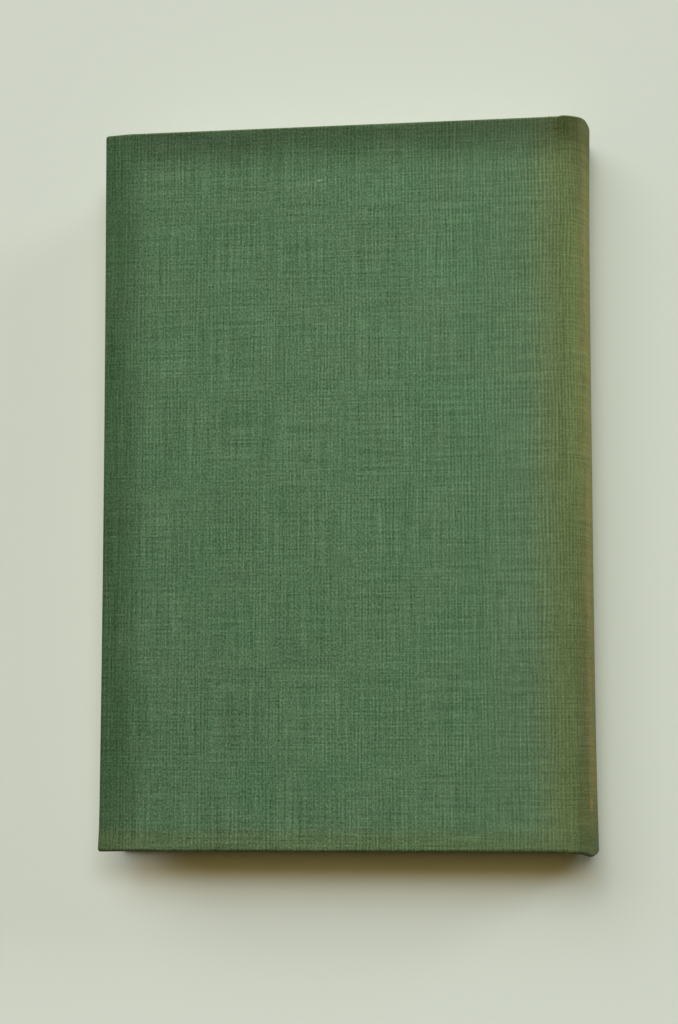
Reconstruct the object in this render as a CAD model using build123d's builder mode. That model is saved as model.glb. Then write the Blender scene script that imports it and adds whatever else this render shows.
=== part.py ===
import os

from build123d import *

# Closed cloth-bound book lying on its front cover. +X towards the spine, +Y towards the head, +Z up.
# The back cover is drawn on top and mirrored to make the front cover underneath. All lengths in mm.

# pages
page_height = 216.0
page_width = 139.5
block_thickness = 24.0
fore_edge_hollow = 4.0

# case
square = 3.2
board_thickness = 2.5
board_corner_radius = 1.0
board_edge_radius = 0.4
cloth_thickness = 0.4
turn_in_width = 15.0
mull_flap_width = 22.0
joint_width = 4.0
joint_lip = 1.0
spine_round = 7.0
inlay_thickness = 0.8
inlay_span_share = 0.84

# papers and linings
paper_thickness = 0.2
mull_thickness = 0.3
mull_end_inset = 14.0
lining_thickness = 0.2
glue_thickness = 0.05
band_size = 1.8
band_top_radius = 0.6
band_span_share = 0.86

# clearances
cover_clearance = 0.3
hollow_clearance = 0.3
hinge_gap = 0.3

# heights of the layers, from the table up to the outer face of the back cover
cover_stack = 2 * cloth_thickness + board_thickness + paper_thickness
block_bottom_z = cover_stack + cover_clearance + paper_thickness
block_top_z = block_bottom_z + block_thickness
case_thickness = block_top_z + block_bottom_z
mid_z = case_thickness / 2
case_half = case_thickness / 2
board_top_z = case_thickness - cloth_thickness
board_inner_z = board_top_z - board_thickness
turn_in_z = board_inner_z - cloth_thickness
pastedown_z = turn_in_z - paper_thickness
joint_inner_z = board_top_z - cloth_thickness
joint_paper_z = joint_inner_z - paper_thickness

# widths, with the whole book centred on X
book_width = cloth_thickness + square + page_width + spine_round
book_left_x = -book_width / 2
board_left_x = book_left_x + cloth_thickness
page_left_x = board_left_x + square
shoulder_x = page_left_x + page_width
hinge_x = shoulder_x - joint_lip
joint_end_x = hinge_x - hinge_gap / 2
board_right_x = hinge_x - joint_width
board_width = board_right_x - board_left_x
board_mid_x = (board_left_x + board_right_x) / 2
edge_cloth_x = board_right_x + cloth_thickness
edge_paper_x = edge_cloth_x + paper_thickness
window_left_x = board_left_x + turn_in_width
flap_left_x = board_right_x - mull_flap_width

# lengths along the spine
board_height = page_height + 2 * square
book_height = board_height + 2 * cloth_thickness
window_height = board_height - 2 * turn_in_width
mull_height = page_height - 2 * mull_end_inset

# layers of the spine, measured inwards from the outer face of its cloth
inlay_outer = cloth_thickness
inlay_inner = inlay_outer + inlay_thickness
turn_in_inner = inlay_inner + cloth_thickness
lining_outer = turn_in_inner + hollow_clearance
mull_outer = lining_outer + lining_thickness
mull_inner = mull_outer + mull_thickness
back_inset = mull_inner + glue_thickness
back_round = spine_round - back_inset
back_half = case_half - back_inset
inlay_span = case_thickness * inlay_span_share
turn_in_span = inlay_span + 2 * cloth_thickness
middle = Plane.XY.offset(mid_z)

with BuildPart() as text_block:
    with BuildSketch(Plane.XZ):
        with Locations((page_left_x, mid_z)):
            Rectangle(page_width, block_thickness, align=(Align.MIN, Align.CENTER))
        with Locations((shoulder_x, mid_z)):
            Ellipse(back_round, back_half)
    extrude(amount=page_height / 2, both=True)
    # the flange left of the shoulder comes off, so the covers lie flat on the leaves
    with BuildSketch(Plane.XZ):
        with Locations((shoulder_x, block_top_z)):
            Rectangle(page_width, case_half, align=(Align.MAX, Align.MIN))
        with Locations((shoulder_x, block_bottom_z)):
            Rectangle(page_width, case_half, align=(Align.MAX, Align.MAX))
    extrude(amount=page_height / 2, both=True, mode=Mode.SUBTRACT)
    # hollow of the fore-edge
    with BuildSketch(Plane.XZ):
        with BuildLine():
            ThreePointArc((page_left_x, block_bottom_z), (page_left_x + fore_edge_hollow, mid_z),
                          (page_left_x, block_top_z))
            Line((page_left_x, block_top_z), (page_left_x, block_bottom_z))
        make_face()
    extrude(amount=page_height / 2, both=True, mode=Mode.SUBTRACT)
text_block.part.label = "text_block"

with BuildPart() as spine_mull:
    with BuildSketch(Plane.XZ):
        with Locations((shoulder_x, mid_z)):
            Ellipse(spine_round - mull_outer, case_half - mull_outer)
            Ellipse(spine_round - mull_inner, case_half - mull_inner, mode=Mode.SUBTRACT)
            Rectangle(spine_round, block_thickness, align=(Align.MIN, Align.CENTER), mode=Mode.INTERSECT)
    extrude(amount=mull_height / 2, both=True)
spine_mull.part.label = "spine_mull"

with BuildPart() as spine_lining:
    with BuildSketch(Plane.XZ):
        with Locations((shoulder_x, mid_z)):
            Ellipse(spine_round - lining_outer, case_half - lining_outer)
            Ellipse(spine_round - mull_outer, case_half - mull_outer, mode=Mode.SUBTRACT)
            Rectangle(spine_round, block_thickness, align=(Align.MIN, Align.CENTER), mode=Mode.INTERSECT)
    extrude(amount=mull_height / 2, both=True)
spine_lining.part.label = "spine_lining"

# bands on the ends of the pages, along the back
with BuildPart() as head_band:
    with BuildSketch(Plane.XZ.offset(-page_height / 2)):
        with Locations((shoulder_x, mid_z)):
            Ellipse(back_round, back_half)
            Ellipse(back_round - band_size, back_half - band_size, mode=Mode.SUBTRACT)
            Rectangle(spine_round, block_thickness * band_span_share,
                      align=(Align.MIN, Align.CENTER), mode=Mode.INTERSECT)
    extrude(amount=-band_size)
    fillet(head_band.faces().sort_by(Axis.Y)[-1].edges().sort_by(SortBy.LENGTH)[-2:],
           radius=band_top_radius)
head_band.part.label = "head_band"

with BuildPart() as tail_band:
    mirror(head_band.part, about=Plane.XZ)
tail_band.part.label = "tail_band"

with BuildPart() as back_flyleaf:
    with BuildSketch(Plane.XZ):
        with Locations((page_left_x, block_top_z)):
            Rectangle(page_width, paper_thickness, align=(Align.MIN, Align.MIN))
        # pasted up the side of the shoulder
        with Locations((shoulder_x, block_top_z)):
            Rectangle(paper_thickness, mid_z + back_half - block_top_z, align=(Align.MAX, Align.MIN))
    extrude(amount=page_height / 2, both=True)
back_flyleaf.part.label = "back_flyleaf"

with BuildPart() as front_flyleaf:
    mirror(back_flyleaf.part, about=middle)
front_flyleaf.part.label = "front_flyleaf"

with BuildPart() as spine_inlay:
    with BuildSketch(Plane.XZ):
        with Locations((shoulder_x, mid_z)):
            Ellipse(spine_round - inlay_outer, case_half - inlay_outer)
            Ellipse(spine_round - inlay_inner, case_half - inlay_inner, mode=Mode.SUBTRACT)
            Rectangle(spine_round, inlay_span, align=(Align.MIN, Align.CENTER), mode=Mode.INTERSECT)
    extrude(amount=board_height / 2, both=True)
spine_inlay.part.label = "spine_inlay"

with BuildPart() as spine_cloth:
    with BuildSketch(Plane.XZ):
        with Locations((shoulder_x, mid_z)):
            Ellipse(spine_round, case_half)
            Ellipse(spine_round - cloth_thickness, case_half - cloth_thickness, mode=Mode.SUBTRACT)
            Rectangle(spine_round, case_thickness, align=(Align.MIN, Align.CENTER), mode=Mode.INTERSECT)
        # lips that reach the joints
        with Locations((shoulder_x, case_thickness)):
            Rectangle(joint_lip - hinge_gap / 2, cloth_thickness, align=(Align.MAX, Align.MAX))
        with Locations((shoulder_x, 0)):
            Rectangle(joint_lip - hinge_gap / 2, cloth_thickness, align=(Align.MAX, Align.MIN))
    extrude(amount=book_height / 2, both=True)
    # turned in over both ends of the inlay
    with BuildSketch(Plane.XZ.offset(-book_height / 2), Plane.XZ.offset(book_height / 2 - turn_in_width)):
        with Locations((shoulder_x, mid_z)):
            Ellipse(spine_round - cloth_thickness, case_half - cloth_thickness)
            Ellipse(spine_round - turn_in_inner, case_half - turn_in_inner, mode=Mode.SUBTRACT)
            Rectangle(spine_round, turn_in_span, align=(Align.MIN, Align.CENTER), mode=Mode.INTERSECT)
    extrude(amount=turn_in_width)
    add(spine_inlay.part, mode=Mode.SUBTRACT)
spine_cloth.part.label = "spine_cloth"

with BuildPart() as back_board:
    with BuildSketch(Plane.XY.offset(board_inner_z)):
        with Locations((board_left_x, 0)):
            Rectangle(board_width, board_height, align=(Align.MIN, Align.CENTER))
    extrude(amount=board_thickness)
    fillet(back_board.edges().filter_by(Axis.Z).group_by(Axis.X)[0], radius=board_corner_radius)
    board_rims = back_board.faces().filter_by(Axis.Z).edges()
    fillet([rim for rim in board_rims if rim.center().X < board_right_x - board_edge_radius],
           radius=board_edge_radius)
back_board.part.label = "back_board"

with BuildPart() as back_cloth:
    with BuildSketch(Plane.XY.offset(turn_in_z)):
        with Locations((book_left_x, 0)):
            Rectangle(board_right_x - book_left_x, book_height, align=(Align.MIN, Align.CENTER))
    extrude(amount=case_thickness - turn_in_z)
    fillet(back_cloth.edges().filter_by(Axis.Z).group_by(Axis.X)[0],
           radius=board_corner_radius + cloth_thickness)
    cloth_rims = back_cloth.faces().filter_by(Axis.Z).edges()
    fillet([rim for rim in cloth_rims if rim.center().X < board_right_x - board_edge_radius],
           radius=board_edge_radius + cloth_thickness)
    # cloth of the joint, with its turned-in ends following the edge of the board
    with BuildSketch(Plane.XZ):
        with Locations((board_right_x, case_thickness)):
            Rectangle(joint_end_x - board_right_x, cloth_thickness, align=(Align.MIN, Align.MAX))
    extrude(amount=book_height / 2, both=True)
    with BuildSketch(Plane.XZ):
        with Locations((board_right_x, board_top_z)):
            Rectangle(joint_end_x - board_right_x, cloth_thickness, align=(Align.MIN, Align.MAX))
            Rectangle(cloth_thickness, board_top_z - turn_in_z, align=(Align.MIN, Align.MAX))
    extrude(amount=book_height / 2, both=True)
    # opening inside the turn-ins
    with BuildSketch(Plane.XZ):
        with Locations((window_left_x, turn_in_z)):
            Rectangle(board_width, cloth_thickness, align=(Align.MIN, Align.MIN))
        with Locations((board_right_x, board_top_z)):
            Rectangle(joint_width, board_top_z - turn_in_z, align=(Align.MIN, Align.MAX))
    extrude(amount=window_height / 2, both=True, mode=Mode.SUBTRACT)
    add(back_board.part, mode=Mode.SUBTRACT)
back_cloth.part.label = "back_cloth"

with BuildPart() as back_mull_flap:
    with BuildSketch(Plane.XZ):
        with Locations((flap_left_x, turn_in_z)):
            Rectangle(edge_cloth_x - flap_left_x, cloth_thickness, align=(Align.MIN, Align.MIN))
        with Locations((board_right_x, board_top_z)):
            Rectangle(cloth_thickness, board_top_z - turn_in_z, align=(Align.MIN, Align.MAX))
            Rectangle(joint_end_x - board_right_x, cloth_thickness, align=(Align.MIN, Align.MAX))
    extrude(amount=window_height / 2, both=True)
back_mull_flap.part.label = "back_mull_flap"

with BuildPart() as back_pastedown:
    with BuildSketch(Plane.XZ):
        with Locations((page_left_x, pastedown_z)):
            Rectangle(edge_paper_x - page_left_x, paper_thickness, align=(Align.MIN, Align.MIN))
        with Locations((edge_cloth_x, joint_inner_z)):
            Rectangle(paper_thickness, joint_inner_z - pastedown_z, align=(Align.MIN, Align.MAX))
            Rectangle(joint_end_x - edge_cloth_x, paper_thickness, align=(Align.MIN, Align.MAX))
    extrude(amount=page_height / 2, both=True)
    # sunk into the opening between the turn-ins and the mull
    with BuildSketch(Plane.XZ):
        with Locations((window_left_x, board_inner_z)):
            Rectangle(flap_left_x - window_left_x, board_inner_z - pastedown_z, align=(Align.MIN, Align.MAX))
    extrude(amount=window_height / 2, both=True)
    with BuildSketch(Plane.XZ):
        with Locations((window_left_x + paper_thickness, board_inner_z - paper_thickness)):
            Rectangle(flap_left_x - window_left_x - 2 * paper_thickness, board_inner_z - pastedown_z,
                      align=(Align.MIN, Align.MAX))
    extrude(amount=window_height / 2 - paper_thickness, both=True, mode=Mode.SUBTRACT)
back_pastedown.part.label = "back_pastedown"

with BuildPart() as front_board:
    mirror(back_board.part, about=middle)
front_board.part.label = "front_board"

with BuildPart() as front_cloth:
    mirror(back_cloth.part, about=middle)
front_cloth.part.label = "front_cloth"

with BuildPart() as front_mull_flap:
    mirror(back_mull_flap.part, about=middle)
front_mull_flap.part.label = "front_mull_flap"

with BuildPart() as front_pastedown:
    mirror(back_pastedown.part, about=middle)
front_pastedown.part.label = "front_pastedown"

os.makedirs("parts", exist_ok=True)
export_step(text_block.part, "parts/text_block.step")
export_step(spine_mull.part, "parts/spine_mull.step")
export_step(spine_lining.part, "parts/spine_lining.step")
export_step(head_band.part, "parts/head_band.step")
export_step(tail_band.part, "parts/tail_band.step")
export_step(front_flyleaf.part, "parts/front_flyleaf.step")
export_step(back_flyleaf.part, "parts/back_flyleaf.step")
export_step(spine_inlay.part, "parts/spine_inlay.step")
export_step(spine_cloth.part, "parts/spine_cloth.step")
export_step(front_board.part, "parts/front_board.step")
export_step(front_cloth.part, "parts/front_cloth.step")
export_step(front_mull_flap.part, "parts/front_mull_flap.step")
export_step(front_pastedown.part, "parts/front_pastedown.step")
export_step(back_board.part, "parts/back_board.step")
export_step(back_cloth.part, "parts/back_cloth.step")
export_step(back_mull_flap.part, "parts/back_mull_flap.step")
export_step(back_pastedown.part, "parts/back_pastedown.step")
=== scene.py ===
import math
import random

import bmesh
import bpy
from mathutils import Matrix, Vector, noise


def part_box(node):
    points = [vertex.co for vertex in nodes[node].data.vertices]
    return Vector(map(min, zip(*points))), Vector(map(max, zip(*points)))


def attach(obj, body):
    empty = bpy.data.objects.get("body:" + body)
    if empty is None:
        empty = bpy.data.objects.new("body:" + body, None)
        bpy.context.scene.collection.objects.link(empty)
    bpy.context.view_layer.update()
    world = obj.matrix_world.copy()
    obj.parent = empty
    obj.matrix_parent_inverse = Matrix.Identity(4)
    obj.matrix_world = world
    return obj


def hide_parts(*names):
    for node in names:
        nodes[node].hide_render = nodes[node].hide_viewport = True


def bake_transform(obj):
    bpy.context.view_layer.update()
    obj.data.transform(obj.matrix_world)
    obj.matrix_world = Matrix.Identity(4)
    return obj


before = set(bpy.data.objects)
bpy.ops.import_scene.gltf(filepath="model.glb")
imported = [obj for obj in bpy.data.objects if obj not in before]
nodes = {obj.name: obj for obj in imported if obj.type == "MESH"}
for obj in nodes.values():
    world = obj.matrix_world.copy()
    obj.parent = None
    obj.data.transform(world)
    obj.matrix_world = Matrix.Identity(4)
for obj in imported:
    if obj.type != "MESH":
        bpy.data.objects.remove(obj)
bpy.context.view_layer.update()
scene = bpy.context.scene
scene.view_settings.view_transform = "Standard"
print("frame loaded:", len(nodes), "nodes")

mm = 0.001
close = 0.1 * mm  # counts as the same place
coverLow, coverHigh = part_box("back_cloth")
pagesLow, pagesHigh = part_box("text_block")
leafLow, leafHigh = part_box("back_flyleaf")
bookTop = coverHigh.z
midZ = bookTop / 2
foreX = coverLow.x
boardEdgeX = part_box("back_board")[1].x
shoulderX = leafHigh.x
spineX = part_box("spine_cloth")[1].x
headY = coverHigh.y


class Wire:  # one shader socket: arithmetic on wires adds Math nodes
    def __init__(self, tree, socket=None):
        self.tree, self.socket = tree, socket

    def add(self, kind, settings, links, out=0):  # any node: settings first, then values or links
        made = self.tree.nodes.new(kind)
        for key, value in settings.items():
            setattr(made, key, value)
        for key, value in links.items():
            if isinstance(value, Wire):
                self.tree.links.new(value.socket, made.inputs[key])
            else:
                made.inputs[key].default_value = value
        return Wire(self.tree, made.outputs[out])

    def math(self, operation, first, second=0.0):
        return self.add("ShaderNodeMath", {"operation": operation}, {0: first, 1: second})

    def __add__(self, other):
        return self.math("ADD", self, other)

    def __radd__(self, other):
        return self.math("ADD", other, self)

    def __sub__(self, other):
        return self.math("SUBTRACT", self, other)

    def __rsub__(self, other):
        return self.math("SUBTRACT", other, self)

    def __mul__(self, other):
        return self.math("MULTIPLY", self, other)

    def __rmul__(self, other):
        return self.math("MULTIPLY", other, self)

    def __abs__(self):
        return self.math("ABSOLUTE", self)

    def sine(self):
        return self.math("SINE", self)

    def step(self, low, high):  # smooth 0 to 1 as the value goes from low to high
        return self.add("ShaderNodeMapRange", {"interpolation_type": "SMOOTHSTEP"},
                        {"Value": self, "From Min": low, "From Max": high})

    def near(self, place, full, gone):  # 1 within the distance full of a place, 0 past the distance gone
        return 1 - abs(self - place).step(full, gone)

    def mix(self, colourA, colourB, kind="MIX"):  # this wire is the factor
        return self.add("ShaderNodeMix", {"data_type": "RGBA", "blend_type": kind},
                        {0: self, 6: colourA, 7: colourB}, 2)

    def product(self, colourA, colourB):
        return self.add("ShaderNodeMix", {"data_type": "RGBA", "blend_type": "MULTIPLY"},
                        {0: 1.0, 6: colourA, 7: colourB}, 2)

    def point(self, x, y, z=0.0):
        return self.add("ShaderNodeCombineXYZ", {}, {0: x, 1: y, 2: z})

    def parts(self):  # x, y and z of this wire
        split = self.add("ShaderNodeSeparateXYZ", {}, {0: self})
        return [Wire(self.tree, out) for out in split.socket.node.outputs]

    def scale(self, vector, factor):
        return self.add("ShaderNodeVectorMath", {"operation": "SCALE"}, {0: vector, "Scale": factor})

    def cloud(self, place, scale=1.0, detail=2.0, rough=0.5):
        return self.add("ShaderNodeTexNoise", {}, {"Vector": place, "Scale": scale, "Detail": detail,
                                                   "Roughness": rough})


def startMaterial(name):
    material = bpy.data.materials.new(name)
    material.use_nodes = True
    tree = material.node_tree
    return material, Wire(tree), tree.nodes["Principled BSDF"]


def finishMaterial(wire, shader, colour, roughness, gloss=0.5, height=None, depth=0.1 * mm, strength=1.0):
    links = wire.tree.links
    links.new(colour.socket, shader.inputs["Base Color"])
    shader.inputs["Roughness"].default_value = roughness
    shader.inputs["Specular IOR Level"].default_value = gloss
    if height:
        bump = wire.add("ShaderNodeBump", {}, {"Strength": strength, "Distance": depth, "Height": height})
        links.new(bump.socket, shader.inputs["Normal"])


def objectPlace(wire):  # place on the object in mm, whole and as x, y, z wires
    place = wire.scale(wire.add("ShaderNodeTexCoord", {}, {}, 3), 1 / mm)
    return place, place.parts()


# the cloth's u runs across the case and v towards the head, both in mm here
yarnLook = {
    # waves per mm across and along, then a layer of the noise
    "drift": (0.15, 0.03, 0.0), "longWarp": (1.9, 0.035, 0.0), "longWeft": (0.045, 1.9, 2.0),
    "along": (1.7, 0.22, 4.0), "across": (0.22, 1.9, 7.0), "patch": (0.06, 0.03, 3.0),
    "grain": (2.0, 1.5, 0.0), "mottle": (0.05, 0.05, 0.0),
    "strength": {"rib": 0.15, "longWarp": 0.8, "longWeft": 0.75, "along": 0.5, "across": 0.35,
                 "grain": 2.15, "mottle": 0.15},
    "raise": {"along": 0.6, "across": 0.5, "rib": 0.12, "weave": 0.18},
    "ribPitch": 1.05, "weavePitch": 0.42, "ribDrift": 14, "ribWaver": 2,
    "ribLeast": 0.45, "ribPatch": 0.4, "patchEdge": (0.38, 0.62),
    # ribs show more towards the spine, most of all towards the head
    "ribSide": (-20, 45), "ribSideGain": 0.12, "ribHead": (-80, -10), "ribHeadGain": 0.32,
    # smoother threads towards the spine
    "calmSide": (0, 60), "calmWarp": 0.28, "calmGrain": 0.85,
    "lift": 0.24,
}


def clothYarns(wire, u, v):  # how light each thread is, and the height of the weave
    look, strength, high = yarnLook, yarnLook["strength"], yarnLook["raise"]

    def yarn(name, detail=1.0, rough=0.5):
        across, along, layer = look[name]
        return wire.cloud(wire.point(u * across, v * along, layer), 1.0, detail, rough)

    along, across = yarn("along"), yarn("across")
    rib = (u * (2 * math.pi / look["ribPitch"]) + yarn("drift", 2.0) * look["ribDrift"]
           + along * look["ribWaver"]).sine()
    ribHead = v.step(*look["ribHead"]) * look["ribHeadGain"]
    ribSide = u.step(*look["ribSide"]) * (ribHead + look["ribSideGain"])
    rib = rib * (yarn("patch").step(*look["patchEdge"]) * look["ribPatch"] + ribSide + look["ribLeast"])
    calm = u.step(*look["calmSide"])
    tone = (rib * strength["rib"]
            + (yarn("longWarp") - 0.5) * (strength["longWarp"] - calm * look["calmWarp"])
            + (yarn("longWeft") - 0.5) * strength["longWeft"]
            + (along - 0.5) * strength["along"]
            + (across - 0.5) * strength["across"]
            + (yarn("grain", 2.0, 0.6) - 0.5) * (strength["grain"] - calm * look["calmGrain"])
            + (yarn("mottle", 3.0, 0.55) - 0.5) * strength["mottle"])
    tone = tone + tone * tone * look["lift"]  # as much light thread as dark to the eye
    turn = 2 * math.pi / look["weavePitch"]
    weave = (u * turn).sine() * (v * turn).sine()
    height = along * high["along"] + across * high["across"] + rib * high["rib"] + weave * high["weave"]
    return tone, height


fadeLook = {
    "green": (0.0785, 0.1570, 0.0765, 1),
    "warmPatch": (1.035, 0.995, 1.01, 1), "coolPatch": (0.96, 1.01, 0.99, 1), "patchEdge": (0.36, 0.64),
    # sunning towards the spine: from and to across the cloth, then the colour reached
    "sunning": ((40.0, 50.0, (0.085, 0.160, 0.079, 1)), (54.0, 63.5, (0.103, 0.158, 0.068, 1)),
                (61.0, 68.0, (0.102, 0.144, 0.051, 1)), (68.5, 75.0, (0.150, 0.171, 0.058, 1))),
    "wander": 3, "fray": 5, "fraySide": (68, 75),
    # a bleached stripe down the middle of the spine, weaker towards the tail and at both ends
    "stripe": (74.5, 78.5), "stripeColour": (0.238, 0.240, 0.080, 1), "stripeTail": (-90, -20),
    "tailLoss": 0.25, "endLoss": 0.8,
    # a darker place at the head of the joint
    "corner": (0.75, 0.79, 0.60, 1), "cornerHead": (101, 108),
    "cornerFrom": (64.5, 67), "cornerTo": (69, 71.5),
}


def clothFade(wire, u, v, wander, spineEnd):  # the dye, and what the sun has left of it
    look = fadeLook
    hue = wire.cloud(wire.point(u, v, 30.0), 0.06, 3.0, 0.6).step(*look["patchEdge"])
    colour = wire.product(look["green"], hue.mix(look["coolPatch"], look["warmPatch"]))
    fray = (wire.cloud(wire.point(u * 0.25, v * 0.16, 9.0), 1.0, 3.0) - 0.5) * u.step(*look["fraySide"])
    reach = u + wander * look["wander"] + fray * look["fray"]
    for low, high, reached in look["sunning"]:
        colour = reach.step(low, high).mix(colour, reached)
    stripe = reach.step(*look["stripe"]) * (1 - spineEnd * look["endLoss"])
    stripe = stripe * (v.step(*look["stripeTail"]) * look["tailLoss"] + (1 - look["tailLoss"]))
    colour = stripe.mix(colour, look["stripeColour"])
    corner = v.step(*look["cornerHead"]) * u.step(*look["cornerFrom"]) * (1 - u.step(*look["cornerTo"]))
    return corner.mix(colour, look["corner"], "MULTIPLY")


edgeLook = {
    "ragged": 5,
    # darkened by handling: the reaches are in mm from the edge of the cover
    "head": (0.57, 0.55, 0.50, 1), "headReach": (2.0, 17.0), "headSpine": (72, 76), "headSpineLoss": 0.65,
    "fore": (0.57, 0.63, 0.52, 1), "foreReach": (2.5, 16.0),
    # olive towards the tail, a line of painted shade along the rounded tail edge, where it turns away from
    # the light, and a rubbed line on the head edge
    "tailTint": (0.094, 0.138, 0.051, 1), "tailReach": (102, 109), "tailShare": 0.6,
    "paintedTailShade": (0.50, 0.46, 0.34, 1), "tailRim": (110.3, 111.4),
    "headLine": (0.155, 0.210, 0.085, 1), "headRim": (110.8, 111.5), "headLineShare": 0.6,
}


def clothEdges(u, v, wander, colour):
    look = edgeLook
    ragged = wander * look["ragged"]
    headShade = 1 - (headY / mm - v + ragged).step(*look["headReach"])
    headShade = headShade * (1 - u.step(*look["headSpine"]) * look["headSpineLoss"])
    foreShade = 1 - (u - foreX / mm + ragged).step(*look["foreReach"])
    edge = 1 - (1 - headShade) * (1 - foreShade)
    colour = edge.mix(colour, foreShade.mix(look["head"], look["fore"]), "MULTIPLY")
    tail = (ragged * 0.5 - v).step(*look["tailReach"]) * look["tailShare"]
    colour = tail.mix(colour, look["tailTint"])
    # painted shade: a dark line along the rounded tail edge, where it turns away from the light
    colour = (-1 * v).step(*look["tailRim"]).mix(colour, look["paintedTailShade"], "MULTIPLY")
    colour = (v.step(*look["headRim"]) * look["headLineShare"]).mix(colour, look["headLine"])
    return edge, colour


flawLook = {
    # one pale slub and one rusty spot, on the upper cover only: place, then size across and along
    "slub": (-7.36, 94.16), "slubAcross": (0.2, 1.3), "slubAlong": (0.1, 0.5),
    "slubColour": (0.30, 0.36, 0.24, 1), "slubShare": 0.55,
    "spot": (77.2, -97.6), "spotAcross": (0.3, 1.2), "spotAlong": (0.4, 2.2), "spotShare": 0.7,
    # rusty stains down the spine, fewer towards the head
    "rustColour": (0.40, 0.225, 0.050, 1), "rustPatch": (0.47, 0.60), "rustSide": (75.0, 77.5),
    "rustShare": 0.32, "rustHead": (-70, 30), "rustHeadLoss": 0.25,
}


def clothFlaws(wire, u, v, z, wander, spineEnd, colour):
    look = flawLook
    upper = z.step(midZ / mm - 1, midZ / mm + 1)
    slub = u.near(look["slub"][0], *look["slubAcross"]) * v.near(look["slub"][1], *look["slubAlong"])
    colour = (slub * upper * look["slubShare"]).mix(colour, look["slubColour"])
    spot = (u + wander * 3).near(look["spot"][0], *look["spotAcross"])
    spot = spot * v.near(look["spot"][1], *look["spotAlong"])
    rust = wire.cloud(wire.point(u * 0.2, v * 0.08, z * 0.1), 1.0, 3.0).step(*look["rustPatch"])
    rust = rust * u.step(*look["rustSide"]) * (1 - spineEnd)
    rust = rust * (look["rustShare"] - v.step(*look["rustHead"]) * look["rustHeadLoss"])
    return (spot * upper * look["spotShare"] + rust).mix(colour, look["rustColour"])


clothLook = {
    "spineEnd": (90, 108), "endWander": 10,
    # lighter towards the head and the spine: from, to, gain, least
    "fieldHead": (-90, 60, 0.12, 0.90), "fieldSpine": (-70, 30, 0.10, 0.92),
    # the joint is lighter in the middle of its length and darker towards both ends
    "jointFrom": (67, 72), "jointTo": (74, 77), "jointToLoss": 0.6, "jointTail": (-80, 30),
    "jointHead": (72, 95), "jointHeadLoss": 0.75, "jointBase": 0.32, "jointGain": 0.36,
    # threads differ more in lightness than in hue
    "threadShare": 0.65, "fleck": (0.135, 0.163, 0.130), "fleckShare": 0.35, "fleckEdgeLoss": 0.4,
    "roughness": 0.82, "gloss": 0.25, "depth": 0.12 * mm, "strength": 0.6,
}


def clothField(u, v):  # broad lightness over the case
    look = clothLook
    shade = 1.0
    for wire, (low, high, gain, least) in ((v, look["fieldHead"]), (u, look["fieldSpine"])):
        shade = (wire.step(low, high) * gain + least) * shade
    joint = u.step(*look["jointFrom"]) * (1 - u.step(*look["jointTo"]) * look["jointToLoss"])
    along = v.step(*look["jointTail"]) * (1 - v.step(*look["jointHead"]) * look["jointHeadLoss"])
    return shade * (1 + joint * (along - look["jointBase"]) * look["jointGain"])


def makeClothMaterial():
    look = clothLook
    material, wire, shader = startMaterial("book_cloth")
    uv = wire.add("ShaderNodeUVMap", {"uv_map": "cloth"}, {})
    u, v = [part * (1 / mm) for part in uv.parts()[:2]]
    z = objectPlace(wire)[1][2]
    wander = wire.cloud(wire.point(u * 0.05, v * 0.05, 5.0), 1.0, 3.0) - 0.5
    spineEnd = abs(v + wander * look["endWander"]).step(*look["spineEnd"])
    tone, height = clothYarns(wire, u, v)
    colour = clothFade(wire, u, v, wander, spineEnd)
    edge, colour = clothEdges(u, v, wander, colour)
    colour = clothFlaws(wire, u, v, z, wander, spineEnd, colour)
    body = wire.scale(colour, (1 + tone * look["threadShare"]) * clothField(u, v))
    fleck = wire.scale(look["fleck"], tone * look["fleckShare"] * (1 - edge * look["fleckEdgeLoss"]))
    toned = wire.add("ShaderNodeVectorMath", {"operation": "ADD"}, {0: body, 1: fleck})
    finishMaterial(wire, shader, toned, look["roughness"], look["gloss"], height, look["depth"],
                   look["strength"])
    return material


pageLook = {
    "cream": (0.80, 0.74, 0.60, 1), "toned": (0.62, 0.53, 0.38, 1), "shade": (0.3, 0.95),
    "leafShare": 0.6, "sectionShare": 0.3, "dustShare": 0.35,
    "roughness": 0.9, "gloss": 0.2, "depth": 0.1 * mm, "strength": 0.7,
}


def makePageMaterial():
    look = pageLook
    material, wire, shader = startMaterial("page_edges")
    place, (x, y, z) = objectPlace(wire)
    leaves = wire.cloud(wire.point(x * 0.02, y * 0.02, z * 6.0), 1.0, 3.0, 0.7)
    sections = wire.cloud(wire.point(x * 0.01, y * 0.01, z * 0.9), 1.0, 1.0)
    dust = wire.cloud(place, 0.09, 4.0, 0.6)
    shade = leaves * look["leafShare"] + sections * look["sectionShare"] + dust * look["dustShare"]
    colour = shade.step(*look["shade"]).mix(look["toned"], look["cream"])
    finishMaterial(wire, shader, colour, look["roughness"], look["gloss"], leaves, look["depth"],
                   look["strength"])
    return material


paperLook = {
    "light": (0.70, 0.64, 0.51, 1), "dark": (0.53, 0.43, 0.28, 1), "ageShare": 0.5, "fibreShare": 0.3,
    # browner towards the head, tail and fore-edge, in mm from the middle of the book
    "endReach": (88, 108), "endShare": 0.5, "foreReach": (50, 72), "foreShare": 0.4,
    "fox": (0.36, 0.22, 0.09, 1), "foxPatch": (0.70, 0.80), "foxShare": 0.5,
    "roughness": 0.88, "gloss": 0.2, "depth": 0.05 * mm, "strength": 0.5,
}


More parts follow.
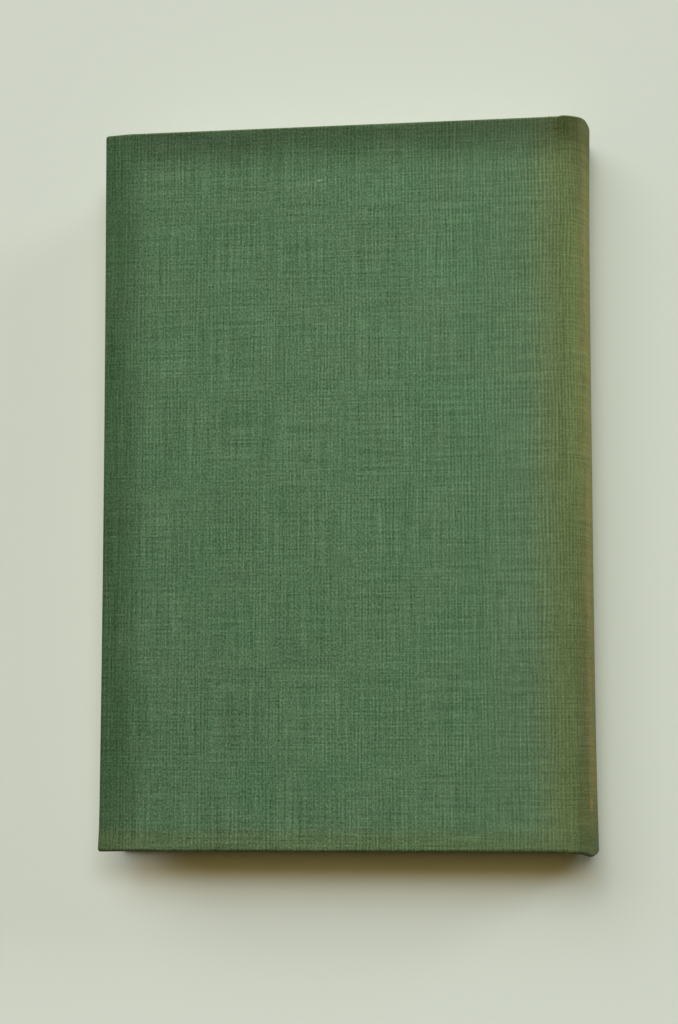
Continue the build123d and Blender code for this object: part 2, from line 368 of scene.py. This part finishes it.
def makePaperMaterial():
    look = paperLook
    material, wire, shader = startMaterial("endpaper")
    place, (x, y, z) = objectPlace(wire)
    fibre = wire.cloud(place, 1.6, 4.0, 0.65)
    age = wire.cloud(place, 0.035, 4.0, 0.6)
    rim = abs(y).step(*look["endReach"]) * look["endShare"]
    rim = rim + (-1 * x).step(*look["foreReach"]) * look["foreShare"]
    brown = age * look["ageShare"] + rim + (fibre - 0.5) * look["fibreShare"]
    spots = wire.cloud(place, 0.35).step(*look["foxPatch"]) * look["foxShare"]
    colour = spots.mix(brown.mix(look["light"], look["dark"]), look["fox"])
    finishMaterial(wire, shader, colour, look["roughness"], look["gloss"], fibre, look["depth"],
                   look["strength"])
    return material


fibreLook = {
    # light, dark, size of the fibres, depth
    "kraft": ((0.40, 0.28, 0.16, 1), (0.27, 0.18, 0.10, 1), 1.5, 0.05 * mm),
    "millboard": ((0.36, 0.33, 0.28, 1), (0.22, 0.20, 0.16, 1), 1.2, 0.1 * mm),
    "manila_card": ((0.46, 0.39, 0.28, 1), (0.34, 0.27, 0.18, 1), 1.6, 0.05 * mm),
    "fibreShare": 0.7, "clumpShare": 0.5, "clumpSize": 0.15, "shade": (0.35, 0.85),
    "roughness": 0.92, "strength": 0.6,
}


def makeFibreMaterial(name):
    look = fibreLook
    light, dark, size, depth = look[name]
    material, wire, shader = startMaterial(name)
    place = objectPlace(wire)[0]
    fibre = wire.cloud(place, size, 5.0, 0.7)
    clump = wire.cloud(place, size * look["clumpSize"], 3.0, 0.6)
    shade = (fibre * look["fibreShare"] + clump * look["clumpShare"]).step(*look["shade"])
    finishMaterial(wire, shader, shade.mix(dark, light), look["roughness"], height=fibre, depth=depth,
                   strength=look["strength"])
    return material


gauzeLook = {
    "glue": (0.50, 0.41, 0.26, 1), "thread": (0.68, 0.61, 0.46, 1), "threadTurn": 5.2, "shade": (0.1, 0.7),
    "threadShare": 0.35, "glueShare": 0.7, "roughness": 0.85, "depth": 0.1 * mm, "strength": 0.6,
}


def makeGauzeMaterial():
    look = gauzeLook
    material, wire, shader = startMaterial("gauze")
    place, (x, y, z) = objectPlace(wire)
    threads = ((x + z) * look["threadTurn"]).sine() * (y * look["threadTurn"]).sine()
    glue = wire.cloud(place, 0.3, 4.0, 0.6)
    shade = (threads * look["threadShare"] + glue * look["glueShare"]).step(*look["shade"])
    finishMaterial(wire, shader, shade.mix(look["glue"], look["thread"]), look["roughness"], height=threads,
                   depth=look["depth"], strength=look["strength"])
    return material


bandLook = {
    "soiled": (0.40, 0.33, 0.21, 1), "clean": (0.66, 0.60, 0.46, 1), "shade": (0.0, 0.9),
    "windTurn": (7.0, 2.0), "windShare": 0.3, "soilShare": 0.8,
    "roughness": 0.8, "depth": 0.15 * mm, "strength": 0.8,
}


def makeBandMaterial():
    look = bandLook
    material, wire, shader = startMaterial("band_cloth")
    place, (x, y, z) = objectPlace(wire)
    winding = (z * look["windTurn"][0] + x * look["windTurn"][1]).sine()
    soil = wire.cloud(place, 0.5, 3.0, 0.6)
    shade = (winding * look["windShare"] + soil * look["soilShare"]).step(*look["shade"])
    finishMaterial(wire, shader, shade.mix(look["soiled"], look["clean"]), look["roughness"], height=winding,
                   depth=look["depth"], strength=look["strength"])
    return material


bookCloth = makeClothMaterial()
pageEdges = makePageMaterial()
endpaper = makePaperMaterial()
kraft = makeFibreMaterial("kraft")
millboard = makeFibreMaterial("millboard")
manila = makeFibreMaterial("manila_card")
gauze = makeGauzeMaterial()
bandCloth = makeBandMaterial()
print("materials made")

nodeFinish = {
    "front_flyleaf": endpaper, "back_flyleaf": endpaper, "front_board": millboard, "back_board": millboard,
    "front_mull_flap": gauze, "back_mull_flap": gauze, "spine_mull": gauze, "spine_lining": kraft,
    "spine_inlay": manila, "head_band": bandCloth, "tail_band": bandCloth,
}
for nodeName, finish in nodeFinish.items():
    mesh = nodes[nodeName].data
    mesh.materials.clear()
    mesh.materials.append(finish)


def placeBox(bm, low, high):
    middle, size = (low + high) / 2, high - low
    made = bmesh.ops.create_cube(bm, size=1.0)["verts"]
    bmesh.ops.scale(bm, vec=size, verts=made)
    bmesh.ops.translate(bm, vec=middle, verts=made)


def cutAcross(bm, axis, place):  # one loop of edges at a place on an axis
    normal = Vector((0, 0, 0))
    normal[axis] = 1
    bmesh.ops.bisect_plane(bm, geom=bm.verts[:] + bm.edges[:] + bm.faces[:], dist=1e-7,
                           plane_co=normal * place, plane_no=normal)


def cutEvenly(bm, axis, low, high, cuts):
    for i in range(1, cuts + 1):
        cutAcross(bm, axis, low + (high - low) * i / (cuts + 1))


def rise(edge):
    return abs(edge.verts[0].co.z - edge.verts[1].co.z)


def roundOff(bm, edges, radius, steps):
    bmesh.ops.bevel(bm, geom=edges, offset=radius, affect="EDGES", segments=steps, profile=0.5, material=-1)


def sweepRow(bm, edges, distance):  # grows a strip of faces along y and gives its far edges
    grown = bmesh.ops.extrude_edge_only(bm, edges=edges)["geom"]
    bmesh.ops.translate(bm, vec=(0, distance, 0),
                        verts=[g for g in grown if isinstance(g, bmesh.types.BMVert)])
    return [g for g in grown if isinstance(g, bmesh.types.BMEdge)]


def hill(value, low, high):  # smooth bump, 0 at both ends and 1 in the middle
    if value <= low or value >= high:
        return 0.0
    return math.sin(math.pi * (value - low) / (high - low)) ** 2


def ease(value, low, high):  # smooth 0 to 1 as the value goes from low to high
    t = min(max((value - low) / (high - low), 0.0), 1.0)
    return t * t * (3 - 2 * t)


caseWear = {
    "foreBow": 0.18 * mm, "foreReach": 40 * mm,
    "cornerFlare": 0.30 * mm, "cornerDrop": (0.40 * mm, 0.10 * mm),  # drop at the head, then at the tail
    "cornerReach": 9 * mm, "cornerWidth": 7 * mm,
    "jointDip": 0.22 * mm, "jointRims": (0.3 * mm, 0.1 * mm), "skin": (0.25 * mm, 0.55 * mm),
    # push along the spine at its ends: all of the end, then each side of it
    "headCap": (0.28 * mm, 0.55 * mm), "tailCap": (0.35 * mm, 1.05 * mm), "capReach": 12 * mm,
    "capStart": 1.6 * mm, "capFull": 0.4 * mm, "earSpan": (0.4 * mm, 14 * mm),
    "spineWaist": 0.17 * mm, "spineFlare": 0.62 * mm,
}


def wearCase(bm):  # the small bends that use leaves in the case
    wear = caseWear
    for vert in bm.verts:
        x, y, z = vert.co
        depth = min(z, bookTop - z)
        along = y / headY
        foreSide = 1 - ease(x, foreX, foreX + wear["foreReach"])
        vert.co.x += foreSide * wear["foreBow"] * (1 - 2 * along * along)
        cornerSide = 1 - ease(x, foreX, foreX + wear["cornerWidth"])
        vert.co.x -= cornerSide * ease(-y, headY - wear["cornerReach"], headY) * wear["cornerFlare"]
        drop = wear["cornerDrop"][0 if y > 0 else 1]
        vert.co.y -= cornerSide * drop * ease(abs(y), headY - wear["cornerReach"], headY)
        outside = 1 - ease(depth, *wear["skin"])
        groove = hill(x, boardEdgeX + wear["jointRims"][0], shoulderX - wear["jointRims"][1])
        vert.co.z -= groove * outside * wear["jointDip"] * (1 if z > midZ else -1)
        cap, ear = wear["headCap" if y > 0 else "tailCap"]
        pushed = cap * ease(x, shoulderX - wear["capStart"], shoulderX + wear["capFull"])
        if x > shoulderX:
            pushed += ear * hill(depth, *wear["earSpan"])
        vert.co.y += math.copysign(pushed, y) * ease(abs(y), headY - wear["capReach"], headY)
        spineSide = ease(x, shoulderX, spineX)
        vert.co.x += spineSide * (wear["spineFlare"] * along ** 4 - wear["spineWaist"])


def clothLayer(bm):  # thread directions: u across the case, v towards the head, both in metres
    layer = bm.loops.layers.uv.new("cloth")
    for face in bm.faces:
        normal = face.normal
        for loop in face.loops:
            x, y, z = loop.vert.co
            rim = min(z, bookTop - z)
            if abs(normal.x) > max(abs(normal.y), abs(normal.z)):
                loop[layer].uv = (x - rim, y)
            elif abs(normal.y) > abs(normal.z):
                loop[layer].uv = (x, y + math.copysign(rim, y))
            else:
                loop[layer].uv = (x, y)


def finishPiece(bm, name, material, body=None, sharp=40):
    mesh = bpy.data.meshes.new(name)
    bm.to_mesh(mesh)
    bm.free()
    for polygon in mesh.polygons:
        polygon.use_smooth = True
    mesh.set_sharp_from_angle(angle=math.radians(sharp))
    mesh.materials.append(material)
    piece = bpy.data.objects.new(name, mesh)
    scene.collection.objects.link(piece)
    if body:
        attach(piece, body)
    return piece


def evenNormals(piece):
    weighted = piece.modifiers.new("even_normals", "WEIGHTED_NORMAL")
    weighted.weight, weighted.keep_sharp = 100, True


coverSkin = {
    "cornerRadius": 0.9 * mm, "cornerSteps": 5, "edgeRadius": 0.8 * mm, "edgeSteps": 4,
    "clothThickness": 0.36 * mm, "turnIn": 15 * mm, "edgeLap": 0.38 * mm, "columns": 17, "rows": 30,
    "sharp": 60,
}


def makeCoverCloth(side):
    low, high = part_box(side + "_cloth")
    boardLo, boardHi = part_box(side + "_board")
    look = coverSkin
    endX = boardHi.x + look["edgeLap"]
    bm = bmesh.new()
    placeBox(bm, low, Vector((endX, high.y, high.z)))
    corners = [e for e in bm.edges if rise(e) > mm and max(v.co.x for v in e.verts) < low.x + close]
    roundOff(bm, corners, look["cornerRadius"], look["cornerSteps"])
    rims = [e for e in bm.edges if rise(e) < close and min(v.co.x for v in e.verts) < endX - close]
    roundOff(bm, rims, look["edgeRadius"], look["edgeSteps"])
    cutEvenly(bm, 0, low.x, endX, look["columns"])
    cutEvenly(bm, 1, low.y, high.y, look["rows"])
    # opening inside the turn-ins, where the endpaper lies on the board
    windowX, windowY = boardLo.x + look["turnIn"], boardHi.y - look["turnIn"]
    for axis, place in ((0, windowX), (1, windowY), (1, -windowY)):
        cutAcross(bm, axis, place)
    innerZ, up = (low.z, 1) if side == "back" else (high.z, -1)
    opening = []
    for face in bm.faces:
        centre = face.calc_center_median()
        inside = abs(centre.y) < windowY and centre.x > windowX
        if inside and (abs(centre.z - innerZ) < close or centre.x > endX - close):
            opening.append(face)
    bmesh.ops.delete(bm, geom=opening, context="FACES")
    bmesh.ops.recalc_face_normals(bm, faces=bm.faces)
    if sum(f.normal.z * f.calc_area() for f in bm.faces) * up < 0:
        bmesh.ops.reverse_faces(bm, faces=bm.faces)
    bmesh.ops.solidify(bm, geom=bm.faces[:], thickness=look["clothThickness"])
    clothLayer(bm)
    wearCase(bm)
    piece = finishPiece(bm, side + "_cover_cloth", bookCloth, side + "_cover", look["sharp"])
    evenNormals(piece)
    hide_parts(side + "_cloth")


jointSkin = {
    "thickness": 0.8 * mm, "foldRadius": 0.39 * mm, "foldSteps": 4, "columns": 27, "rows": 30,
    "bend": 0.6 * mm, "sharp": 60,
}


def makeJointCloth(side):
    low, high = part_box(side + "_cloth")
    look = jointSkin
    outer, up = (high.z, 1) if side == "back" else (low.z, -1)
    inner = outer - up * look["thickness"]
    startX = boardEdgeX + coverSkin["edgeLap"]
    bm = bmesh.new()
    placeBox(bm, Vector((startX, low.y, min(outer, inner))), Vector((shoulderX, high.y, max(outer, inner))))
    ends = [e for e in bm.edges if abs(e.verts[0].co.x - e.verts[1].co.x) > mm]
    roundOff(bm, ends, look["foldRadius"], look["foldSteps"])
    cutEvenly(bm, 0, startX, shoulderX, look["columns"])
    cutEvenly(bm, 1, low.y, high.y, look["rows"])
    bmesh.ops.recalc_face_normals(bm, faces=bm.faces)
    clothLayer(bm)
    wearCase(bm)
    piece = finishPiece(bm, side + "_joint_cloth", bookCloth, None, look["sharp"])
    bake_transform(piece)


spineSkin = {
    "foldDepth": 1.6 * mm, "foldSteps": 8, "turnIn": 15 * mm, "clothThickness": 0.36 * mm,
    "steps": 64, "rows": 40, "arcSteps": 400, "sharp": 60,
}


def makeSpineCloth():
    look = spineSkin
    reach, half = spineX - shoulderX, bookTop / 2
    fold = look["foldDepth"] / 2
    # depth below the outer face and place along the spine, from one turn-in round to the other
    path = [(look["foldDepth"], headY - look["turnIn"])]
    for i in range(look["foldSteps"] + 1):
        turn = math.pi * i / look["foldSteps"]
        path.append((fold + fold * math.cos(turn), headY - fold + fold * math.sin(turn)))
    for i in range(1, look["rows"]):
        path.append((0.0, (headY - fold) * (1 - 2 * i / look["rows"])))
    for i in range(look["foldSteps"] + 1):
        turn = math.pi * i / look["foldSteps"]
        path.append((fold - fold * math.cos(turn), -headY + fold - fold * math.sin(turn)))
    path.append((look["foldDepth"], -headY + look["turnIn"]))
    bm = bmesh.new()
    line = [bm.verts.new((0, y, half - depth)) for depth, y in path]
    for a, b in zip(line, line[1:]):
        bm.edges.new((a, b))
    bmesh.ops.spin(bm, geom=bm.verts[:] + bm.edges[:], cent=(0, 0, 0), axis=(0, 1, 0), angle=math.pi,
                   steps=look["steps"], use_merge=False, use_duplicate=False)
    # arc length round the outer face, for the thread direction
    lengths = [0.0]
    for i in range(look["arcSteps"]):
        a, b = math.pi * i / look["arcSteps"], math.pi * (i + 1) / look["arcSteps"]
        lengths.append(lengths[-1] + math.hypot(reach * (math.sin(b) - math.sin(a)),
                                                half * (math.cos(b) - math.cos(a))))
    for vert in bm.verts:  # half circle pressed to the spine's oval
        turn = math.atan2(vert.co.x, vert.co.z) % (2 * math.pi)
        depth = half - math.hypot(vert.co.x, vert.co.z)
        vert.co.x = shoulderX + (reach - depth) * math.sin(turn)
        vert.co.z = midZ + (half - depth) * math.cos(turn)
    bmesh.ops.recalc_face_normals(bm, faces=bm.faces)
    apex = max(bm.faces, key=lambda f: f.calc_center_median().x)
    if apex.normal.x < 0:
        bmesh.ops.reverse_faces(bm, faces=bm.faces)
    bmesh.ops.solidify(bm, geom=bm.faces[:], thickness=look["clothThickness"])
    layer = bm.loops.layers.uv.new("cloth")
    for face in bm.faces:
        for loop in face.loops:
            place = loop.vert.co
            turn = math.atan2((place.x - shoulderX) / reach, (place.z - midZ) / half) % (2 * math.pi)
            run = lengths[min(int(turn / math.pi * look["arcSteps"] + 0.5), look["arcSteps"])]
            loop[layer].uv = (shoulderX + min(run, lengths[-1] - run), place.y)
    wearCase(bm)
    piece = finishPiece(bm, "spine_cover_cloth", bookCloth, "pages", look["sharp"])
    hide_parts("spine_cloth")


leafStack = {
    "layers": 78, "gap": 0.012 * mm, "hollow": 4.0 * mm, "cuts": 7, "seed": 11, "sharp": 25,
    "edgeWander": 0.10 * mm, "trimSpread": 0.5, "foreSpread": 0.7,
    "waverReach": 12 * mm, "waverAlong": 40, "waverUp": 900,
    "ridgeSteps": 10, "ridgeInset": 0.05 * mm,
}


def makePages():
    look = leafStack
    draw = random.Random(look["seed"])
    top = leafLow.z
    bottom = bookTop - top
    backReach, backHalf = pagesHigh.x - shoulderX, (pagesHigh.z - pagesLow.z) / 2
    radius = ((top - bottom) ** 2 / 4 + look["hollow"] ** 2) / (2 * look["hollow"])
    bm = bmesh.new()
    for i in range(look["layers"]):
        z0 = bottom + (top - bottom) * i / look["layers"]
        z1 = bottom + (top - bottom) * (i + 1) / look["layers"] - look["gap"]
        mid = (z0 + z1) / 2 - midZ
        fore = pagesLow.x + look["hollow"] - radius + math.sqrt(radius ** 2 - mid ** 2)
        back = shoulderX + backReach * math.sqrt(max(1 - (mid / backHalf) ** 2, 0))
        head = pagesHigh.y - abs(draw.gauss(0, look["trimSpread"])) * look["edgeWander"]
        tail = pagesLow.y + abs(draw.gauss(0, look["trimSpread"])) * look["edgeWander"]
        fore += abs(draw.gauss(0, look["foreSpread"])) * look["edgeWander"]
        placeBox(bm, Vector((fore, tail, z0)), Vector((back, head, z1)))
    cutEvenly(bm, 1, pagesLow.y, pagesHigh.y, look["cuts"])
    for vert in bm.verts:  # leaves waver a little along the fore-edge
        share = 1 - ease(vert.co.x, pagesLow.x, pagesLow.x + look["waverReach"])
        wave = noise.noise(Vector((vert.co.y * look["waverAlong"], vert.co.z * look["waverUp"], 3.0)))
        vert.co.x += share * wave * look["edgeWander"]
    # shoulders, where the outer folds are bent over
    ridgeY = pagesHigh.y - look["ridgeInset"]
    for sign in (1, -1):
        ridge = []
        for i in range(look["ridgeSteps"] + 1):
            turn = math.acos((top - midZ) / backHalf) * (1 - i / look["ridgeSteps"])
            ridge.append(bm.verts.new((shoulderX + backReach * math.sin(turn), ridgeY,
                                       midZ + sign * backHalf * math.cos(turn))))
        ridge.append(bm.verts.new((shoulderX, ridgeY, midZ + sign * (top - midZ))))
        cap = bm.faces.new(ridge)
        grown = bmesh.ops.extrude_face_region(bm, geom=[cap])["geom"]
        bmesh.ops.translate(bm, vec=(0, pagesLow.y - pagesHigh.y + 2 * look["ridgeInset"], 0),
                            verts=[g for g in grown if isinstance(g, bmesh.types.BMVert)])
    bmesh.ops.recalc_face_normals(bm, faces=bm.faces)
    piece = finishPiece(bm, "page_stack", pageEdges, "pages", look["sharp"])
    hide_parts("text_block")


jointPaper = {
    "thickness": 0.14 * mm, "rows": 6,
    # mm from the shoulder, mm inside the outer face
    "fold": ((-0.28, 3.3), (-0.26, 2.5), (-0.34, 2.0), (-0.52, 1.6), (-0.78, 1.28), (-1.05, 1.12),
             (-1.35, 1.08), (-1.8, 1.08), (-2.3, 1.08)),
    "bendStart": (-0.30, 2.3), "bendEnd": (-1.20, 1.1),
}


def makeJointPaper(side):  # the endpaper's fold in the gutter
    look = jointPaper
    outer, up = (bookTop, 1) if side == "back" else (0.0, -1)

    def place(out, deep, y=0.0):
        return shoulderX + out * mm, y, outer - up * deep * mm

    bm = bmesh.new()
    line = [bm.verts.new(place(out, deep, pagesLow.y)) for out, deep in look["fold"]]
    edges = [bm.edges.new(pair) for pair in zip(line, line[1:])]
    for i in range(look["rows"]):
        edges = sweepRow(bm, edges, (pagesHigh.y - pagesLow.y) / look["rows"])
    bmesh.ops.recalc_face_normals(bm, faces=bm.faces)
    bmesh.ops.solidify(bm, geom=bm.faces[:], thickness=look["thickness"])
    piece = finishPiece(bm, side + "_joint_paper", endpaper)
    place(*look["bendStart"])
    place(*look["bendEnd"])
    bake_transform(piece)


endSheet = {
    "thickness": 0.18 * mm, "turnIn": 15 * mm, "flap": 22 * mm, "sink": 0.36 * mm, "ramp": 1.1 * mm,
    "cockle": 0.04 * mm, "cocklePitch": 22, "columns": 26, "rows": 30, "sharp": 60,
    "edgeLap": 0.2 * mm, "edgeRadius": 0.4 * mm, "edgeSteps": 6,
    # in the joint: mm past the board's edge, mm short of the joint's face
    "fold": ((0.0, 0.75), (0.15, 0.4), (0.45, 0.22), (0.9, 0.2)),
}


def gradedSteps(low, high, coarse, places, reach, fine=4):  # even steps, closer together about some places
    steps = [low + (high - low) * i / coarse for i in range(coarse + 1)]
    steps = [s for s in steps if all(abs(s - place) > reach for place in places)]
    for place in places:
        steps += [place + reach * (i / fine - 1) for i in range(2 * fine + 1)]
    return sorted(steps)


def makePastedown(side):
    low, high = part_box(side + "_pastedown")
    boardLo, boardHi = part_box(side + "_board")
    look = endSheet
    ramp = look["ramp"]
    up = 1 if side == "back" else -1
    inner, jointZ = (low.z, high.z) if up > 0 else (high.z, low.z)
    windowX, windowY = boardLo.x + look["turnIn"], boardHi.y - look["turnIn"]
    flapX = boardHi.x - look["flap"]
    lapX = boardHi.x + look["edgeLap"]
    line = [(x, inner) for x in gradedSteps(low.x, lapX, look["columns"], (windowX, flapX), ramp)]
    for i in range(1, look["edgeSteps"] + 1):  # over the board's edge into the joint
        turn = math.pi / 2 * i / look["edgeSteps"]
        line.append((lapX + look["edgeRadius"] * math.sin(turn),
                     inner + up * look["edgeRadius"] * (1 - math.cos(turn))))
    foldX = lapX + look["edgeRadius"]
    line += [(foldX + out * mm, jointZ - up * short * mm) for out, short in look["fold"]]
    line.append((high.x, line[-1][1]))
    rows = gradedSteps(low.y, high.y, look["rows"], (-windowY, windowY), ramp)
    bm = bmesh.new()
    verts = [bm.verts.new((x, rows[0], z)) for x, z in line]
    edges = [bm.edges.new(pair) for pair in zip(verts, verts[1:])]
    for a, b in zip(rows, rows[1:]):
        edges = sweepRow(bm, edges, b - a)
    for vert in bm.verts:  # lower where neither a turn-in nor the gauze lies underneath
        x, y = vert.co.x, vert.co.y
        pan = ease(x, windowX - ramp, windowX + ramp) * (1 - ease(x, flapX - ramp, flapX + ramp))
        pan *= 1 - ease(abs(y), windowY - ramp, windowY + ramp)
        wave = noise.noise(Vector((x * look["cocklePitch"], y * look["cocklePitch"], 5.0 + up)))
        vert.co.z += up * (pan * look["sink"] + wave * look["cockle"] * (1 if x < boardHi.x else 0))
    bmesh.ops.recalc_face_normals(bm, faces=bm.faces)
    if sum(f.normal.z * f.calc_area() for f in bm.faces) * up > 0:
        bmesh.ops.reverse_faces(bm, faces=bm.faces)
    bmesh.ops.solidify(bm, geom=bm.faces[:], thickness=look["thickness"])
    piece = finishPiece(bm, side + "_end_sheet", endpaper, side + "_cover", look["sharp"])
    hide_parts(side + "_pastedown")


for side in ("back", "front"):
    makeCoverCloth(side)
    makeJointCloth(side)
    makeJointPaper(side)
    makePastedown(side)
makeSpineCloth()
makePages()
print("case and pages made")

stageLook = {
    "floor": (0.604, 0.656, 0.582, 1), "floorCloud": (0.56, 0.59, 0.49, 1), "cloudShare": 0.1,
    "floorSize": 6.0, "floorDrop": 0.05 * mm, "roughness": 0.7, "gloss": 0.1,
    "wall": (0.60, 0.638, 0.545, 1), "sky": (1.0, 0.70, 0.25, 1), "skyStrength": 0.04,
    # turn from the head, height and width in degrees, power, colour
    "windows": ((43, 67.7, 13, 0.70, (0.99, 1.0, 1.05)), (-1, 67, 25, 1.10, (0.88, 1.0, 1.10)),
                (28, 83, 17, 0.40, (1.40, 0.92, 0.28)), (-36, 47, 44, 1.05, (1.02, 1.0, 1.04)),
                (57, 25, 19, 0.62, (0.84, 1.0, 1.12))),
}


def makeTable():
    look = stageLook
    material, wire, shader = startMaterial("table")
    cloud = wire.cloud(objectPlace(wire)[0], 0.01)
    colour = (cloud * look["cloudShare"]).mix(look["floor"], look["floorCloud"])
    finishMaterial(wire, shader, colour, look["roughness"], look["gloss"])
    bm = bmesh.new()
    bmesh.ops.create_grid(bm, x_segments=2, y_segments=2, size=look["floorSize"] / 2)
    bmesh.ops.translate(bm, vec=(0, 0, -look["floorDrop"]), verts=bm.verts)
    finishPiece(bm, "table_top", material)


def makeWindows():
    for turn, height, width, power, tint in stageLook["windows"]:
        light = bpy.data.lights.new("window", "SUN")
        light.energy, light.angle, light.color = power, math.radians(width), tint
        lamp = bpy.data.objects.new("window", light)
        scene.collection.objects.link(lamp)
        turn, rise = math.radians(turn), math.radians(height)
        away = Vector((math.cos(rise) * math.sin(turn), math.cos(rise) * math.cos(turn), math.sin(rise)))
        lamp.location = away
        lamp.rotation_euler = away.to_track_quat("Z", "Y").to_euler()


def makeRoom():  # it lights warmly but looks as pale as the table
    look = stageLook
    world = bpy.data.worlds.new("room")
    scene.world = world
    world.use_nodes = True
    tree = world.node_tree
    sky = tree.nodes["Background"]
    sky.inputs["Color"].default_value = look["sky"]
    sky.inputs["Strength"].default_value = look["skyStrength"]
    wire = Wire(tree)
    wall = wire.add("ShaderNodeBackground", {}, {"Color": look["wall"]})
    seen = wire.add("ShaderNodeLightPath", {}, {})
    room = wire.add("ShaderNodeMixShader", {}, {0: seen, 1: Wire(tree, sky.outputs[0]), 2: wall})
    tree.links.new(room.socket, tree.nodes["World Output"].inputs["Surface"])


viewFrom = {  # place in metres, turn in degrees, lens and sensor in mm
    "place": (0.10425, -0.09257, 0.74359), "turn": (6.605, 8.434, -0.047), "lens": 83.72, "sensor": 36.0,
}


def makeCamera():
    camera = bpy.data.cameras.new("photo_view")
    camera.lens, camera.sensor_width = viewFrom["lens"], viewFrom["sensor"]
    holder = bpy.data.objects.new("photo_view", camera)
    scene.collection.objects.link(holder)
    holder.location = viewFrom["place"]
    holder.rotation_euler = [math.radians(a) for a in viewFrom["turn"]]
    scene.camera = holder


makeTable()
makeWindows()
makeRoom()
makeCamera()
print("stage and camera made")
